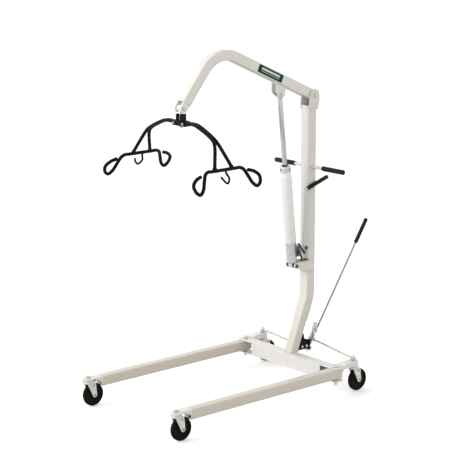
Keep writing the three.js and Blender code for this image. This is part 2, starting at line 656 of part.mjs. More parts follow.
function pumpBracket() {
  const [by, bz] = PUMP_PIN;
  const inner = MAST_WIDTH / 2 + GAP;
  const outer = inner + 4;
  const cheek = [...arc([by, bz], 13, 90, 255, 8), [16, 483], [16, 512], [-24, bz + 13]];
  const front = -MAST_DEPTH / 2 - GAP;
  const web = block([-outer, front - 4, 500], [outer, front, 532]);
  const bracket = join(web, plateYZ(cheek, inner, outer), plateYZ(cheek, -outer, -inner))
    .subtract(drum('x', BOLT_HOLE_R, [-40, by, bz], [40, by, bz], 16));
  add('pump_bracket', bracket, cream());
  add('pump_pivot_bolt', boltX(by, bz, outer + GAP, BOLT_R, 13), zinc());
}

// flat bar between two points of the (y, z) plane
function flatBar(from, to, halfWidth, fromX, toX) {
  const side = new THREE.Vector2(from[1] - to[1], to[0] - from[0]).setLength(halfWidth);
  return plateYZ([
    [from[0] - side.x, from[1] - side.y],
    [to[0] - side.x, to[1] - side.y],
    [to[0] + side.x, to[1] + side.y],
    [from[0] + side.x, from[1] + side.y],
  ], fromX, toX);
}

// crossed bars on the side of the pump block that carry the lever and the release valve
function leverMount() {
  const [ly, lz] = LEVER_PIN;
  const inner = MAST_WIDTH / 2 + 1.5;
  const outer = LEVER_X - 3.1;
  const valve = [-33, 549];
  const frame = join(
    flatBar([-82, 628], [ly, lz - 27], 3.2, inner, outer),
    flatBar([ly, lz - 29], LEVER_PIN, 3.2, inner, outer),
    flatBar([-80, 601], [-58, 549], 3.2, inner, outer),
    flatBar([-83, 572], [-83, 612], 3.2, inner, outer),
    flatBar([-72, 549], [valve[0] + 4, valve[1]], 3.6, inner, outer),
    drum('x', 7.5, [inner, ly, lz], [outer, ly, lz]),
    block([inner - 1, -85, 584], [inner + 1, -70, 600]),
    block([15 + GAP, -78, 568], [inner + 1, -60, 600]));
  const stud = join(
    drum('x', 5, [inner, ly, lz], [LEVER_X + 7, ly, lz], 16),
    along('x', hex(15, [0, 0, 0], [0, 0, 5])).translate([LEVER_X + 3.1, ly, lz]));
  add('lever_mount', join(frame, stud), darkSteel());

  const knob = turned('x', [
    [0, 0], [4, 0], [4, 3], [7, 3], [7, 10], [5.5, 12], [0, 12],
  ], [outer + GAP, ...valve], 12);
  add('release_valve', knob, brass());
}

function pumpLever() {
  const [ly, lz] = LEVER_PIN;
  const [ty, tz] = LEVER_TOP;
  const [gy, gz] = LEVER_GRIP_END;
  const blade = join(
    plateYZ([[ly - 13, lz], [ly + 13, lz], [ty + 8, tz], [ty - 8, tz]], LEVER_X - 2.8, LEVER_X + 2.8),
    drum('x', 13, [LEVER_X - 2.8, ly, lz], [LEVER_X + 2.8, ly, lz]));
  const slope = (gz - tz) / (gy - ty);
  const onGrip = (y) => [LEVER_X, y, gz + (y - gy) * slope];
  const stub = wire([onGrip(ty - 4), onGrip(gy - 6)], 5.5, 1, 12);
  const hole = drum('x', 5.4, [0, ly, lz], [60, ly, lz], 16);
  add('pump_lever', join(blade, stub).subtract(hole), cream());
  const core = wire([onGrip(ty - 4), onGrip(gy - 5.5)], 5.5 + GAP, 1, 12);
  add('pump_lever_grip', wire([onGrip(ty + 9), onGrip(gy)], LEVER_GRIP_R, 1, 16).subtract(core), rubber());
}

// ---------------------------------------------------------------- cradle
function swivelLink() {
  const [y, z] = HANG;
  const eye = join(
    drum('x', 14, [-11, y, z], [11, y, z]),
    block([-8, y - 9, z - 20], [8, y + 9, z - 4]),
    drum('z', BOLT_R + 0.8, [0, y, HUB_BOTTOM - 9], [0, y, z - 15], 16),
    hex(16, [0, y, HUB_BOTTOM - 8], [0, y, HUB_BOTTOM - GAP]));
  add('swivel_link', eye.subtract(drum('x', BOLT_HOLE_R, [-30, y, z], [30, y, z], 16)), white());
}

function cradleHub() {
  const [y] = HANG;
  const bar = block([-40, y - 15, HUB_BOTTOM], [40, y + 15, HUB_TOP]);
  const prongs = join(
    block([10, y - 16, HUB_BOTTOM], [14.5, y + 16, 1260]),
    block([-14.5, y - 16, HUB_BOTTOM], [-10, y + 16, 1260]));
  const hole = drum('z', BOLT_R + 1.2, [0, y, HUB_BOTTOM - 5], [0, y, HUB_TOP + 5], 16);
  let hub = join(bar, prongs).subtract(hole);
  for (const [name, side] of SIDES) {
    hub = hub.subtract(drum('y', 5.4, [side * 29, y - 20, 1221], [side * 29, y + 20, 1221], 12));
    const bolt = join(
      drum('y', 5, [side * 29, y - 17, 1221], [side * 29, y + 17, 1221], 12),
      along('y', hex(12, [0, 0, 0], [0, 0, 4])).translate([side * 29, y - 19.3, 1221]),
      along('y', hex(12, [0, 0, 0], [0, 0, 4])).translate([side * 29, y + 15.3, 1221]));
    add(`hub_bolt_${name}`, bolt, zinc());
  }
  add('cradle_hub', hub, black());
}

// half of the route of a sling bar, from its middle to the tip of the end loop: x, y, z
const LOOP = [
  [BAR_X, 60, BAR_Z], [BAR_X, BAR_HALF - 12, BAR_Z], [BAR_X + 4, BAR_HALF + 4, BAR_Z - 8],
  [281, 115, 1030], [292, 129, 1002], [298, 149, 987], [295, 168, 999], [285, 173, 1024],
  [276, 152, 1043], [270, 124, 1052],
];
// hook under the middle of a sling bar
const HOOK = [[BAR_X + 3, 9, 1052], [279, 17, 1030], [288, 1, 1013], [285, -15, 1025], [277, -24, 1040]];

function cradleSide(name, side) {
  const [hangY] = HANG;
  const place = ([x, y, z], end = 1) => [side * x, hangY + end * y, z];
  const frontLoop = LOOP.map((p) => place(p, -1)).reverse();
  const route = [...frontLoop, place([BAR_X, 0, BAR_Z]), ...LOOP.map((p) => place(p))];
  const bar = wire(route, WIRE_R, 78);
  const hook = wire([place([BAR_X, 9, BAR_Z - 2]), ...HOOK.map((p) => place(p))], 4.5, 18);
  add(`sling_bar_${name}`, join(bar, hook), black());

  const barSpace = wire([place([BAR_X, -BAR_HALF + 10, BAR_Z]), place([BAR_X, BAR_HALF - 10, BAR_Z])],
    WIRE_R + GAP, 1, 12);
  const offset = WIRE_R - 0.5;
  const rods = [-1, 1].map((end) => wire([
    place([40 + GAP, offset, ELBOW[1]], end),
    place([ELBOW[0] - 16, offset, ELBOW[1]], end),
    place([ELBOW[0] + 14, offset, ELBOW[1] - 8], end),
    place([SHOULDER[0] - 14, offset, SHOULDER[1] + 10], end),
    place([SHOULDER[0] + 5, offset + 4, SHOULDER[1] - 9], end),
    place([BAR_X - 3, FOOT_Y, BAR_Z + 8], end),
  ], WIRE_R, 24));
  add(`cradle_arm_${name}`, join(...rods).subtract(barSpace), black());
}

// ---------------------------------------------------------------- assembly
crossMember();
legPivotBolts();
basePost();
mastTube();
mastHead();
pushBar();
legs();
casters();
shifterBracket();
shifterLever();
tieRods();
boom();
boomPumpBracket();
boomEndFork();
pump();
pumpBracket();
leverMount();
pumpLever();
swivelLink();
cradleHub();
for (const [name, side] of SIDES) cradleSide(name, side);

hoist.position.y = MAST_TO_ORIGIN;
hoist.updateMatrixWorld(true);

export default hoist;
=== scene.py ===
# Looks for the patient lift hoist: materials, rounded and detailed pieces, light and camera.
import json
import math

import bmesh
import bpy
from mathutils import Matrix, Vector

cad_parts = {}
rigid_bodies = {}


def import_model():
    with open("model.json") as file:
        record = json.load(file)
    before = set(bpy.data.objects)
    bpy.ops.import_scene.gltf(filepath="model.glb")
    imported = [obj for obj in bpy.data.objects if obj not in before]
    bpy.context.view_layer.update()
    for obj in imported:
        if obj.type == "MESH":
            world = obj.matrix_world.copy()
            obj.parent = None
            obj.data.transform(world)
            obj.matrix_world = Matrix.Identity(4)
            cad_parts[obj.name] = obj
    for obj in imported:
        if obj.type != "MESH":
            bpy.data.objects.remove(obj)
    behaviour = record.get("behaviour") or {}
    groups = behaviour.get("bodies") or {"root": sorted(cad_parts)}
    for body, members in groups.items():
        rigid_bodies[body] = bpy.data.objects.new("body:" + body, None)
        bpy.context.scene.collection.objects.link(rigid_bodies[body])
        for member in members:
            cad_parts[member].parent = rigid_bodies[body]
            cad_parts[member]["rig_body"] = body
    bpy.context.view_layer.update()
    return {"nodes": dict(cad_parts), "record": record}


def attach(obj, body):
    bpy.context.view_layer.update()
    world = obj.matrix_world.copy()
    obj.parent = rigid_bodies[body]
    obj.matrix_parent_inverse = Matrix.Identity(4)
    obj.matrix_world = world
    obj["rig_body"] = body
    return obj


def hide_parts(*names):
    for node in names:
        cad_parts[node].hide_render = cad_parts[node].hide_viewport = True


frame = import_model()
NODES = frame["nodes"]
SLOTS = {entry["node"]: entry["material_slot"] for entry in frame["record"]["subparts"]}
SIDES = (("left", -1), ("right", 1))
PAINT = "frame_paint"

# ------------------------------------------------------------------ sizes
# Millimetres about the foot of the mast axis, the same as in the CAD, with y to the back and z up.
LEG_X = 293                          # centre of each leg, of its casters and of its tie rod eye
LEG_TUBE = 44
LEG_TOP = 126
LEG_WALL = 2.5
LEG_CORNER = 5                       # radius of the tube's corners
LEG_FRONT_Y = -930
LEG_REAR_Y = -86

CROSS_Y = -104
CROSS_TOP = 131
CROSS_BOTTOM = 71

MAST_WIDTH = 50                      # along x
MAST_DEPTH = 48                      # along y
MAST_WALL = 2.2
MAST_CORNER = 5.5
MAST_LEAN = math.radians(21)
MAST_KNEE_Z = 377                    # where the leaning and upright axes meet
MAST_KNEE_RADIUS = 150
MAST_TOP = 1227
SLEEVE_LENGTH = 112                  # how far the mast reaches below its knee, along the lean
POST_INSET = 2.5                     # the post is this much smaller than the mast on each side
POST_WALL = 3
POST_CORNER = 5
POST_TOP = 45                        # ends of the post below the knee, along the lean
POST_FOOT = 263
POST_FOOT_Z = CROSS_TOP + 0.3        # the post stands just clear of the cross member

BOOM_PIVOT = (13, 1270)              # y, z
BOOM_HALF = 22.5
BOOM_WALL = 2.5
BOOM_CORNER = 4
BOOM_RISE = math.radians(24)
BOOM_KNEE = (-534, 1513.5)
BOOM_KNEE_RADIUS = 140
BOOM_END = (-705, 1300)
ROD_PIN = (-173, 1288)               # pump rod to boom, y, z
PUMP_PIN = (-92, 527)                # pump to mast bracket, y, z

PUSH_Y = 5
PUSH_Z = 957
PUSH_HALF = 217
PUSH_GRIP = 130
PUSH_BAR_R = 8
PUSH_GRIP_R = 11

SHIFT_PIVOT_Z = 145                  # lever that spreads the legs
SHIFT_TILT = math.radians(26.5)
SHIFT_BACK = 0.0456                  # the lever leans back this much for each unit of height
SHIFT_AXIS_Y = 21.6
SHIFT_CRANK = 24.7
SHIFT_LENGTH = 694
SHIFT_GRIP = 126
SHIFT_GRIP_R = 8.6
SHIFT_ROD_R = 4.2
SHIFT_ROD_START = 50.5
TIE_R = 4.5
TIE_Y = 23.3                         # tie rods at the crank pins
TIE_PLAY = 1.3                       # each eye sits this far past its pin
TIE_OUTER_Y = 2
TIE_OUTER_Z = 151

WHEEL_R = 50
TRAIL = 25
STEM_Y = (("front", -995), ("rear", 2))

HANG_Y = -718.8                      # middle of the cradle
ARM_R = 7.4                          # round bar of the cradle
HOOK_R = 4.5

MM = 0.001                           # the scene is in metres, and so are the small outlines further down
MAST_Y = 0.468                       # the mast axis stands this far behind the origin


def at(x, y, z):
    """Millimetres about the mast to metres about the origin."""
    return Vector((x * MM, y * MM + MAST_Y, z * MM))


# ------------------------------------------------------------------ camera
CAMERA_PLACE = (5.27067, -4.59462, 2.29889)
CAMERA_AZIMUTH = 49.007
CAMERA_ELEVATION = 12.407
CAMERA_LENS = 135.77


def look_along(azimuth, elevation):
    """Rotation of a camera that looks down at the origin from that direction."""
    a, e = math.radians(azimuth), math.radians(elevation)
    back = Vector((math.sin(a) * math.cos(e), -math.cos(a) * math.cos(e), math.sin(e)))
    right = Vector((math.cos(a), math.sin(a), 0))
    up = back.cross(right)
    return Matrix((right, up, back)).transposed().to_4x4()


def make_camera():
    data = bpy.data.cameras.new("camera")
    data.sensor_width = 36
    data.lens = CAMERA_LENS
    data.clip_end = 60
    camera = bpy.data.objects.new("camera", data)
    bpy.context.scene.collection.objects.link(camera)
    camera.matrix_world = Matrix.Translation(CAMERA_PLACE) @ look_along(CAMERA_AZIMUTH, CAMERA_ELEVATION)
    bpy.context.scene.camera = camera


# ------------------------------------------------------------------ shader nodes
def remap(tree, value, **limits):
    """Maps a value onto 0..1, or between the limits given; a limit from_min is the socket From Min."""
    node = tree.nodes.new("ShaderNodeMapRange")
    for limit, number in limits.items():
        node.inputs[limit.replace("_", " ").title()].default_value = number
    tree.links.new(value, node.inputs["Value"])
    return node.outputs["Result"]


def noise(tree, source, scale, detail=2):
    node = tree.nodes.new("ShaderNodeTexNoise")
    node.inputs["Scale"].default_value = scale
    node.inputs["Detail"].default_value = detail
    tree.links.new(source, node.inputs["Vector"])
    return node.outputs["Fac"]


def split(tree, vector):
    node = tree.nodes.new("ShaderNodeSeparateXYZ")
    tree.links.new(vector, node.inputs["Vector"])
    return node.outputs


def ramp(tree, value):
    node = tree.nodes.new("ShaderNodeValToRGB")
    tree.links.new(value, node.inputs["Fac"])
    return node


# ------------------------------------------------------------------ light and floor
# How bright the studio is from straight below (0) through the horizon (0.5) to straight above (1).
HORIZON = ((0.33, 0.22), (0.48, 0.85), (0.53, 1.0), (0.70, 1.0), (0.88, 0.30))
HORIZON_ENDS = 0.2
STUDIO_STRENGTH = 2.0
STUDIO_TURN = (-0.35, 0.55)          # where the studio turns from white to its warmer tone, along x
STUDIO_WARM = (0.79, 0.78, 0.75, 1)
KEY_PLACE = (-1.6, -5.0, 3.4)
KEY_TARGET = (0, 0, 0.6)
KEY_SIZE = 2.6
KEY_POWER = 130
OVERHEAD_POWER = 0.1
OVERHEAD_SPREAD = math.radians(100)
FLOOR_HALF = 30
FLOOR_DROP = 0.0005                  # keeps the floor just clear of the wheels
FLOOR_GLOW = 0.2


def make_studio():
    """A white studio, warmer and darker on the side of the pump lever, brightest at the horizon."""
    world = bpy.data.worlds.new("world")
    bpy.context.scene.world = world
    world.use_nodes = True
    tree = world.node_tree
    background = tree.nodes["Background"]
    direction = split(tree, tree.nodes.new("ShaderNodeTexCoord").outputs["Generated"])
    shade = ramp(tree, remap(tree, direction["X"], from_min=STUDIO_TURN[0], from_max=STUDIO_TURN[1]))
    shade.color_ramp.elements[0].color = (1, 1, 1, 1)
    shade.color_ramp.elements[1].color = STUDIO_WARM
    tree.links.new(shade.outputs["Color"], background.inputs["Color"])
    band = ramp(tree, remap(tree, direction["Z"], from_min=-1))
    for height, level in HORIZON:
        stop = band.color_ramp.elements.new(height)
        stop.color = (level, level, level, 1)
    for end in (band.color_ramp.elements[0], band.color_ramp.elements[-1]):
        end.color = (HORIZON_ENDS, HORIZON_ENDS, HORIZON_ENDS, 1)
    strength = remap(tree, band.outputs["Color"], to_max=STUDIO_STRENGTH)
    tree.links.new(strength, background.inputs["Strength"])


def make_lamps():
    """A broad key light from the front and a faint, very soft one from overhead."""
    data = bpy.data.lights.new("key", "AREA")
    data.shape = "DISK"
    data.size = KEY_SIZE
    data.energy = KEY_POWER
    key = bpy.data.objects.new("key", data)
    bpy.context.scene.collection.objects.link(key)
    key.location = KEY_PLACE
    aim = Vector(KEY_TARGET) - Vector(KEY_PLACE)
    key.rotation_euler = aim.to_track_quat("-Z", "Y").to_euler()
    data = bpy.data.lights.new("overhead", "SUN")
    data.energy = OVERHEAD_POWER
    data.angle = OVERHEAD_SPREAD
    overhead = bpy.data.objects.new("overhead", data)
    bpy.context.scene.collection.objects.link(overhead)


def make_view():
    view = bpy.context.scene.view_settings
    view.view_transform = "Standard"
    view.look = "None"


def make_floor():
    mesh = bpy.data.meshes.new("floor")
    corners = [(FLOOR_HALF * x, FLOOR_HALF * y, 0) for x, y in ((-1, -1), (1, -1), (1, 1), (-1, 1))]
    mesh.from_pydata(corners, [], [(0, 1, 2, 3)])
    floor = bpy.data.objects.new("floor", mesh)
    bpy.context.scene.collection.objects.link(floor)
    floor.location.z = -FLOOR_DROP
    white = material("floor_white", (0.95, 0.95, 0.95), 0.9, grain=30, vary=0.01, bump=0.0)
    shader = white.node_tree.nodes["Principled BSDF"].inputs
    shader["Emission Color"].default_value = (1, 1, 1, 1)
    shader["Emission Strength"].default_value = FLOOR_GLOW
    floor.data.materials.append(white)
    floor.visible_diffuse = False        # the floor throws no white light up under the tubes


# ------------------------------------------------------------------ materials
SHADE_FADE_TOP = 0.45                      # between these heights a paint turns to its low tone, a painted shade that darkens and warms it towards the floor
SHADE_FADE_FOOT = 0.10
RELIEF_DEPTH = 0.0006
BROAD_SCALE = 0.15                   # broad wear and fine relief, against the grain of the colour
FINE_SCALE = 12


def material(name, color, rough, metal=0.0, grain=60.0, vary=0.04, bump=0.02, rough_vary=0.05,
             spec=0.5, stretch=None, bump_scale=None, low=None):
    """A shader whose colour, roughness and fine relief are all broken up by noise in object space, with a low
    tone painted in as shade towards the floor.
    """
    made = bpy.data.materials.new(name)
    made.use_nodes = True
    made.diffuse_color = (*color, 1)
    tree = made.node_tree
    shader = tree.nodes["Principled BSDF"].inputs
    shader["Metallic"].default_value = metal
    shader["Specular IOR Level"].default_value = spec
    place = tree.nodes.new("ShaderNodeTexCoord").outputs["Object"]
    source = place
    if stretch:
        mapping = tree.nodes.new("ShaderNodeMapping")
        mapping.inputs["Scale"].default_value = stretch
        tree.links.new(place, mapping.inputs["Vector"])
        source = mapping.outputs["Vector"]

    tone = ramp(tree, noise(tree, source, grain, detail=4))
    dark, light = tone.color_ramp.elements
    dark.position = 0.3
    light.position = 0.7
    dark.color = (*[c * (1 - vary) for c in color], 1)
    light.color = (*[min(1, c * (1 + vary)) for c in color], 1)
    shown = tone.outputs["Color"]
    # the low tone is painted shade: the colour darkens and warms between the two heights, towards the floor
    if low:
        mix = tree.nodes.new("ShaderNodeMix")
        mix.data_type = "RGBA"
        mix.inputs["B"].default_value = (*low, 1)
        low_shade_fade = remap(tree, split(tree, place)["Z"], from_min=SHADE_FADE_TOP, from_max=SHADE_FADE_FOOT)
        tree.links.new(low_shade_fade, mix.inputs["Factor"])
        tree.links.new(shown, mix.inputs["A"])
        shown = mix.outputs["Result"]
    tree.links.new(shown, shader["Base Color"])

    wear = remap(tree, noise(tree, source, grain * BROAD_SCALE),
                 to_min=max(0.02, rough - rough_vary), to_max=min(1.0, rough + rough_vary))
    tree.links.new(wear, shader["Roughness"])
    if bump:
        relief = tree.nodes.new("ShaderNodeBump")
        relief.inputs["Strength"].default_value = bump
        relief.inputs["Distance"].default_value = RELIEF_DEPTH
        tree.links.new(noise(tree, source, bump_scale or grain * FINE_SCALE), relief.inputs["Height"])
        tree.links.new(relief.outputs["Normal"], shader["Normal"])
    return made


PAINTED = {"rough": 0.42, "spec": 0.35, "vary": 0.025, "bump": 0.10, "grain": 18, "bump_scale": 420}
LOOKS = {
    # cream paint: the mast and legs, the boom, and the cross member with its brackets; the boom and the base
    # get lighter copies of it, painted light for the light that falls on them
    # the low tone of frame_paint is painted shade on the lower parts of the frame
    "frame_paint": dict(PAINTED, color=(0.62, 0.605, 0.575), low=(0.55, 0.51, 0.44)),
    "lit_boom_paint": dict(PAINTED, color=(0.67, 0.655, 0.62)),
    "lit_base_paint": dict(PAINTED, color=(0.66, 0.645, 0.625)),
    "weld": dict(color=(0.56, 0.52, 0.46), rough=0.42, vary=0.06, bump=0.5, grain=160, bump_scale=420),
    # other paints
    "black_paint": dict(color=(0.003, 0.003, 0.0035), rough=0.40, spec=0.08, vary=0.3, bump=0.15, grain=40,
                        bump_scale=500),
    "pump_white": dict(color=(0.76, 0.755, 0.75), rough=0.32, spec=0.4, vary=0.02, bump=0.05, grain=20,
                       bump_scale=380),
    "lever_paint": dict(color=(0.50, 0.50, 0.51), rough=0.35, metal=0.3, vary=0.05, bump=0.08, grain=40),
    "label_green": dict(color=(0.001, 0.036, 0.028), rough=0.4, spec=0.12, vary=0.12, bump=0.04, grain=70),
    "label_edge": dict(color=(0.62, 0.68, 0.64), rough=0.4, vary=0.04, bump=0.04, grain=70),
    # metals
    "zinc": dict(color=(0.50, 0.495, 0.485), rough=0.34, metal=0.9, vary=0.14, bump=0.08, rough_vary=0.1,
                 grain=90),
    "bright_zinc": dict(color=(0.68, 0.68, 0.70), rough=0.3, metal=0.7, vary=0.12, bump=0.08, rough_vary=0.1,
                        grain=90),
    "caster_zinc": dict(color=(0.52, 0.51, 0.475), rough=0.42, metal=0.7, vary=0.16, bump=0.1,
                        rough_vary=0.12, grain=70),
    "cast_grey": dict(color=(0.50, 0.485, 0.51), rough=0.4, metal=0.6, vary=0.08, bump=0.2, grain=60),
    "dark_steel": dict(color=(0.05, 0.048, 0.046), rough=0.4, metal=0.8, vary=0.3, bump=0.12, rough_vary=0.12,
                       grain=110),
    "rod_grey": dict(color=(0.26, 0.26, 0.27), rough=0.36, metal=0.85, vary=0.12, bump=0.08, grain=60,
                     stretch=(1, 1, 0.3)),
    "piston": dict(color=(0.37, 0.37, 0.38), rough=0.12, metal=1.0, vary=0.05, bump=0.03, grain=25,
                   stretch=(1, 1, 0.12)),
    "brass": dict(color=(0.44, 0.34, 0.20), rough=0.3, metal=1.0, vary=0.12, bump=0.06, grain=110),
    # vinyl and rubber
    "grip": dict(color=(0.004, 0.004, 0.005), rough=0.45, spec=0.16, vary=0.3, bump=0.35, grain=120,
                 bump_scale=900),
    "tread": dict(color=(0.002, 0.002, 0.0022), rough=0.5, spec=0.07, vary=0.35, bump=0.4, grain=80,
                  bump_scale=700, rough_vary=0.12),
    "hub_grey": dict(color=(0.10, 0.10, 0.10), rough=0.5, vary=0.2, bump=0.2, grain=90),
}
MATERIALS = {}


def make_materials():
    for name, look in LOOKS.items():
        MATERIALS[name] = material(name, **look)


def paint_cad_nodes():
    for name, slot in SLOTS.items():
        node = NODES[name]
        node.data.materials.clear()
        node.data.materials.append(MATERIALS[slot])


# ------------------------------------------------------------------ pieces
def put(name, bm, slot, body, smooth=40, finish=None):
    """Makes a piece that rides on a body; the finish is its material where that isn't the slot's own."""
    mesh = bpy.data.meshes.new(name)
    bmesh.ops.recalc_face_normals(bm, faces=bm.faces)
    bm.to_mesh(mesh)
    bm.free()
    piece = bpy.data.objects.new(name, mesh)
    bpy.context.scene.collection.objects.link(piece)
    mesh.materials.append(MATERIALS[finish or slot])
    for polygon in mesh.polygons:
        polygon.use_smooth = True
    mesh.set_sharp_from_angle(angle=math.radians(smooth))
    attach(piece, body)
    return piece


# How far the sharp edges of a CAD node are rolled over, and its material where that isn't its slot's own.
SOFT_EDGE = 0.0006
SOFT_EDGES = {"cross_member": 0.0014, "mast_head": 0.0010, "cradle_hub": 0.0010,
              "front_bracket_left": 0.0016, "front_bracket_right": 0.0016,
              "rear_arm_left": 0.0014, "rear_arm_right": 0.0014}
FINISHES = {"shifter_crank": "bright_zinc", "shifter_flat": "bright_zinc", "pump_pivot_bolt": "dark_steel",
            "hub_bolt_left": "rod_grey", "hub_bolt_right": "rod_grey", "pump_base": "cast_grey",
            # the base pieces take the lighter copy of the cream paint, which is painted light
            "cross_member": "lit_base_paint", "rear_arm_left": "lit_base_paint", "rear_arm_right": "lit_base_paint",
            "front_bracket_left": "lit_base_paint", "front_bracket_right": "lit_base_paint",
            "boom_pump_bracket": "lit_boom_paint"}
SHARP_ANGLE = math.radians(28)
FLAT_ANGLE = math.radians(1.0)


def rounded(node):
    """A copy of a CAD node with its sharp edges rolled over, which stands for the node."""
    bm = bmesh.new()
    bm.from_mesh(NODES[node].data)
    bmesh.ops.remove_doubles(bm, verts=bm.verts, dist=1e-6)
    bmesh.ops.dissolve_limit(bm, angle_limit=FLAT_ANGLE, verts=bm.verts, edges=bm.edges, delimit={"NORMAL"})
    sharp = [e for e in bm.edges if len(e.link_faces) == 2 and e.calc_face_angle(0) > SHARP_ANGLE]
    bmesh.ops.bevel(bm, geom=sharp, offset=SOFT_EDGES.get(node, SOFT_EDGE), segments=2, affect="EDGES",
                    profile=0.5, clamp_overlap=True)
    bmesh.ops.triangulate(bm, faces=[f for f in bm.faces if len(f.verts) > 4])
    piece = put(node + "_finish", bm, SLOTS[node], NODES[node]["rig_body"], smooth=32,
                finish=FINISHES.get(node))
    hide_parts(node)


def round_remaining_nodes():
    """Every CAD node that no piece stands for yet gets its rounded copy."""
    for name, node in sorted(NODES.items()):
        if not node.hide_render:
            rounded(name)


# ------------------------------------------------------------------ mesh helpers
LEAST_CORNER = 0.0008                # radius of an inner corner that the wall would take up


def rounded_square(half_a, half_b, radius, steps=5):
    """Corner points of a rounded rectangle, going round once."""
    points = []
    for i, (sa, sb) in enumerate(((1, 1), (-1, 1), (-1, -1), (1, -1))):
        for k in range(steps + 1):
            angle = math.radians(90 * i + 90 * k / steps)
            points.append((sa * (half_a - radius) + radius * math.cos(angle),
                           sb * (half_b - radius) + radius * math.sin(angle)))
    return points


def bridge(bm, one, two):
    """Joins two closed rings of equally many vertices."""
    for i in range(len(one)):
        k = (i + 1) % len(one)
        bm.faces.new((one[i], one[k], two[k], two[i]))


def loft(bm, rings, close_ends=False):
    """Skins rings of equal count; returns the vertices ring by ring."""
    made = [[bm.verts.new(p) for p in ring] for ring in rings]
    for one, two in zip(made, made[1:]):
        bridge(bm, one, two)
    if close_ends:
        bm.faces.new(made[0])
        bm.faces.new(made[-1])
    return made


def sections(line, section):
    """The section set upright on each point of a line in the y, z plane, which is given with its normals."""
    return [[(a, y + ny * b, z + nz * b) for a, b in section] for y, z, ny, nz in line]


def tube_along(name, line, half_x, half_n, radius, wall, body, nodes):
    """A hollow square tube with rounded corners, along a line that bent_line or line_point made."""
    bm = bmesh.new()
    skins = []
    for inset in (0, wall):
        section = rounded_square(half_x - inset, half_n - inset, max(radius - inset, LEAST_CORNER))
        skins.append(loft(bm, sections(line, section)))
    for end in (0, -1):
        bridge(bm, skins[0][end], skins[1][end])
    piece = put(name, bm, PAINT, body, smooth=50)
    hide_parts(*nodes)
    return piece


def line_point(y, z, ny, nz):
    """Millimetres about the mast to a line's metres about the origin, with the normal as it is."""
    return (y * MM + MAST_Y, z * MM, ny, nz)


def bent_line(start, corner, end, radius, steps):
    """Points and normals along two straight runs joined by an arc, in the y, z plane."""
    start, corner, end = Vector(start), Vector(corner), Vector(end)
    into, out = (corner - start).normalized(), (end - corner).normalized()
    turn = math.atan2(into.x * out.y - into.y * out.x, into.dot(out))
    side = 1 if turn > 0 else -1
    first = corner - into * radius * math.tan(abs(turn) / 2)
    centre = first + Vector((-into.y, into.x)) * radius * side
    line = [line_point(start.x, start.y, -into.y, into.x)]
    for i in range(steps + 1):
        normal = Matrix.Rotation(turn * i / steps, 2) @ Vector((-into.y, into.x))
        point = centre - normal * radius * side
        line.append(line_point(point.x, point.y, normal.x, normal.y))
    line.append(line_point(end.x, end.y, -out.y, out.x))
    return line


def lathe(bm, profile, origin, axis, sides):
    """Turns (radius, height) pairs about an axis through the origin; a radius of 0 is a tip."""
    turn = Vector((0, 0, 1)).rotation_difference(Vector(axis).normalized()).to_matrix()
    rings = []
    for radius, height in profile:
        angles = [2 * math.pi * i / sides for i in range(sides)] if radius else [0]
        points = [Vector((radius * math.cos(a), radius * math.sin(a), height)) for a in angles]
        rings.append([bm.verts.new(origin + turn @ point) for point in points])
    for one, two in zip(rings, rings[1:]):
        if len(one) > 1 and len(two) > 1:
            bridge(bm, one, two)
            continue
        ring, tip = (one, two[0]) if len(one) > 1 else (two, one[0])
        for i in range(len(ring)):
            bm.faces.new((ring[i], ring[(i + 1) % sides], tip))


def smooth_path(points, per):
    """Centripetal Catmull-Rom through the points, with that many steps from each to the next."""
    points = [Vector(p) for p in points]
    points = [2 * points[0] - points[1]] + points + [2 * points[-1] - points[-2]]
    path = []
    for a, b, c, d in zip(points, points[1:], points[2:], points[3:]):
        t0, t1 = 0.0, max((b - a).length, 1e-9) ** 0.5
        t2 = t1 + max((c - b).length, 1e-9) ** 0.5
        t3 = t2 + max((d - c).length, 1e-9) ** 0.5
        for i in range(per):
            t = t1 + (t2 - t1) * i / per
            a1 = a * ((t1 - t) / (t1 - t0)) + b * ((t - t0) / (t1 - t0))
            a2 = b * ((t2 - t) / (t2 - t1)) + c * ((t - t1) / (t2 - t1))
            a3 = c * ((t3 - t) / (t3 - t2)) + d * ((t - t2) / (t3 - t2))
            b1 = a1 * ((t2 - t) / (t2 - t0)) + a2 * ((t - t0) / (t2 - t0))
            b2 = a2 * ((t3 - t) / (t3 - t1)) + a3 * ((t - t1) / (t3 - t1))
            path.append(b1 * ((t2 - t) / (t2 - t1)) + b2 * ((t - t1) / (t2 - t1)))
    path.append(points[-2])
    return path


DOME_STEPS = (85, 60, 35)            # degrees from the tip of a bar's domed end
DOME_DEPTH = 0.45                    # of the bar's radius


def round_bar(bm, path, radius, sides):
    """A round bar with domed ends along a path, with its section carried along without twist."""
    path = [Vector(p) for p in path]
    last = len(path) - 1
    tangents = [(path[min(i + 1, last)] - path[max(i - 1, 0)]).normalized() for i in range(len(path))]
    normal = tangents[0].orthogonal().normalized()
    rings = []
    for i, (point, tangent) in enumerate(zip(path, tangents)):
        if i:
            normal = (tangents[i - 1].rotation_difference(tangent)) @ normal
        normal = (normal - tangent * normal.dot(tangent)).normalized()
        side = tangent.cross(normal)
        places = [(point, radius)]
        if i in (0, last):
            out = tangent * (radius * (-1 if i == 0 else 1))
            caps = [(point + out * (math.sin(t) * DOME_DEPTH), radius * math.cos(t))
                    for t in map(math.radians, DOME_STEPS)]
            places = caps + places if i == 0 else places + caps[::-1]
        for centre, r in places:
            rings.append([centre + (normal * math.cos(2 * math.pi * k / sides)
                                    + side * math.sin(2 * math.pi * k / sides)) * r for k in range(sides)])
    loft(bm, rings, close_ends=True)


